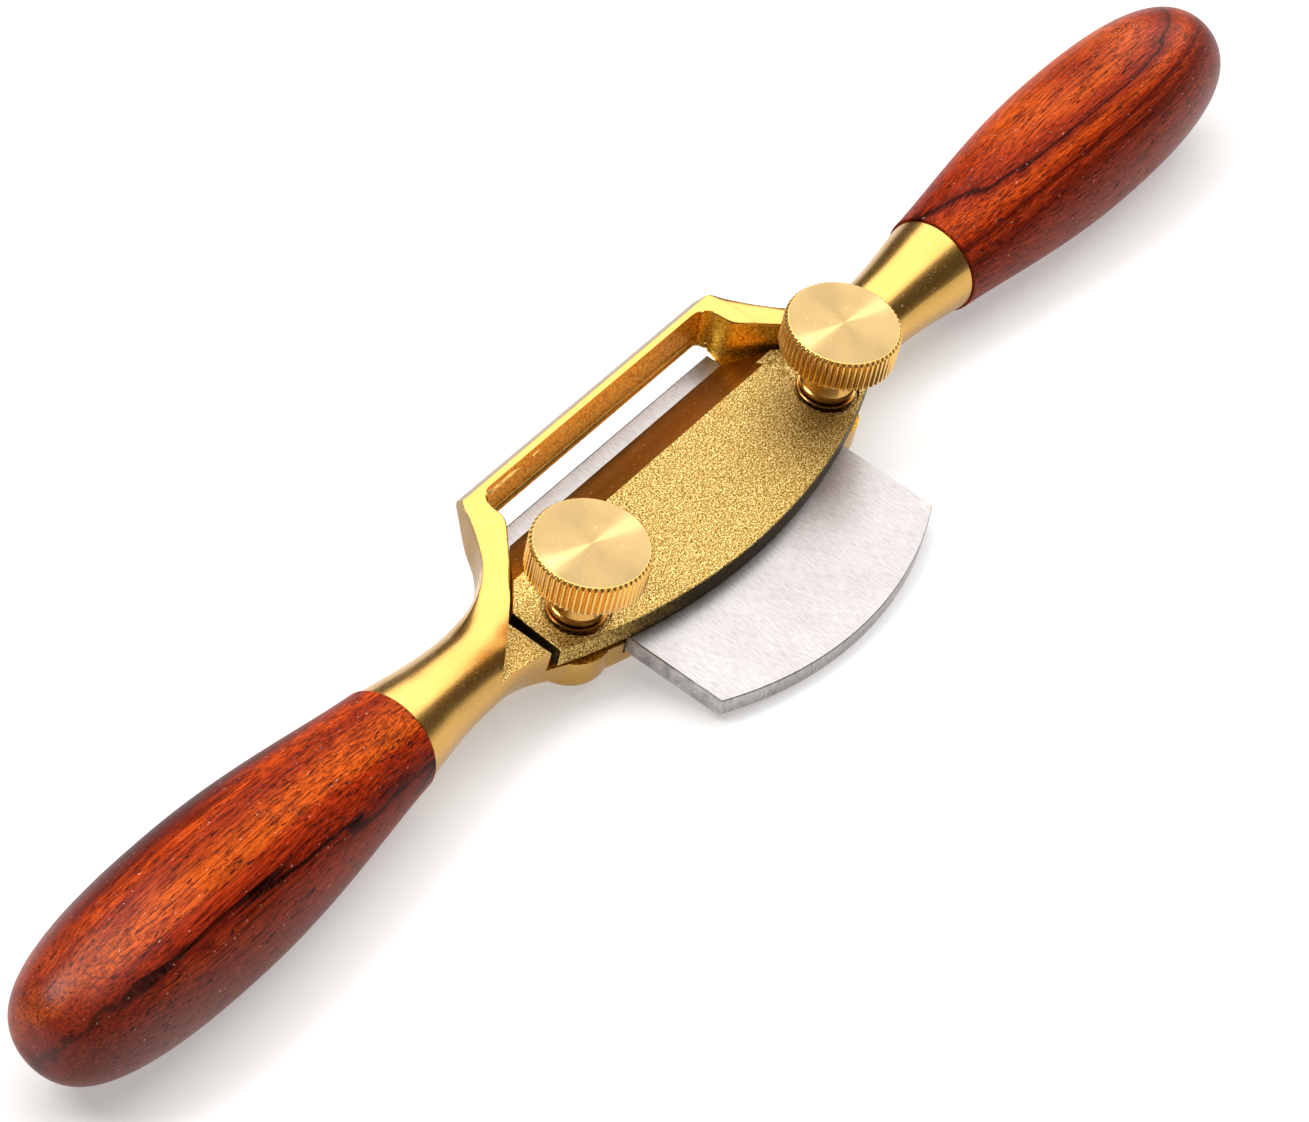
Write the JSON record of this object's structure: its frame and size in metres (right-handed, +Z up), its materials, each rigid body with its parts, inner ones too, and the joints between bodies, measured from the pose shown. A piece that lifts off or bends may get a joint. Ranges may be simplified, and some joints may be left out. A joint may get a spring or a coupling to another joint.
{
  "type": "spokeshave",
  "caption": "Flat-soled brass spokeshave with two turned wooden handles, a steel blade and a lever cap held by knurled thumbscrews.",
  "frame": {"origin": "middle of the tool's bounding box, on the bench that it lies on", "axes": "+X along the tool towards the right handle, +Y from the blade's back end towards its cutting edge, +Z up from the bench"},
  "size_m": [0.284, 0.0526, 0.0281],
  "materials": {
    "satin_brass": "satin, linished",
    "blasted_brass": "sandblasted",
    "brushed_steel": "brushed",
    "rosewood": "oiled, satin"
  },
  "bodies": {
    "frame": {"body_casting": "satin_brass", "handle_left": "rosewood", "handle_right": "rosewood", "tang_left": "brushed_steel", "tang_right": "brushed_steel"},
    "blade": {"blade": "brushed_steel"},
    "lever_cap": {"lever_cap": "blasted_brass"},
    "washer_left": {"washer_left": "satin_brass"},
    "thumbscrew_left": {"thumbscrew_left": "satin_brass"},
    "washer_right": {"washer_right": "satin_brass"},
    "thumbscrew_right": {"thumbscrew_right": "satin_brass"}
  },
  "joints": [
    {"name": "blade_depth", "type": "slide", "parent": "frame", "child": "blade", "axis": [0, 0.9822, 0.188], "range_m": [-0.015, 0.0008]},
    {"name": "left_screw_rise", "type": "slide", "parent": "frame", "child": "washer_left", "axis": [0, -0.188, 0.9822], "range_m": [0, 0.00241]},
    {"name": "left_screw_turn", "type": "hinge", "parent": "washer_left", "child": "thumbscrew_left", "pos_m": [-0.0312, 0.00354, 0.00885], "axis": [0, -0.188, 0.9822], "range_deg": [0, 1080]},
    {"name": "right_screw_rise", "type": "slide", "parent": "frame", "child": "washer_right", "axis": [0, -0.188, 0.9822], "range_m": [0, 0.00241]},
    {"name": "right_screw_turn", "type": "hinge", "parent": "washer_right", "child": "thumbscrew_right", "pos_m": [0.0312, 0.00354, 0.00885], "axis": [0, -0.188, 0.9822], "range_deg": [0, 1080]},
    {"name": "cap_tilt", "type": "hinge", "parent": "frame", "child": "lever_cap", "pos_m": [0.0312, 0.00295, 0.01195], "axis": [0, 0.9822, 0.188], "range_deg": [0, 2.1]}
  ],
  "couplings": [
    {"joint": "left_screw_rise", "follows": "left_screw_turn", "m_per_rad": 0.00012732},
    {"joint": "right_screw_rise", "follows": "right_screw_turn", "m_per_rad": 0.00012732},
    {"joint": "cap_tilt", "follows": "left_screw_turn", "ratio": 0.00193}
  ]
}
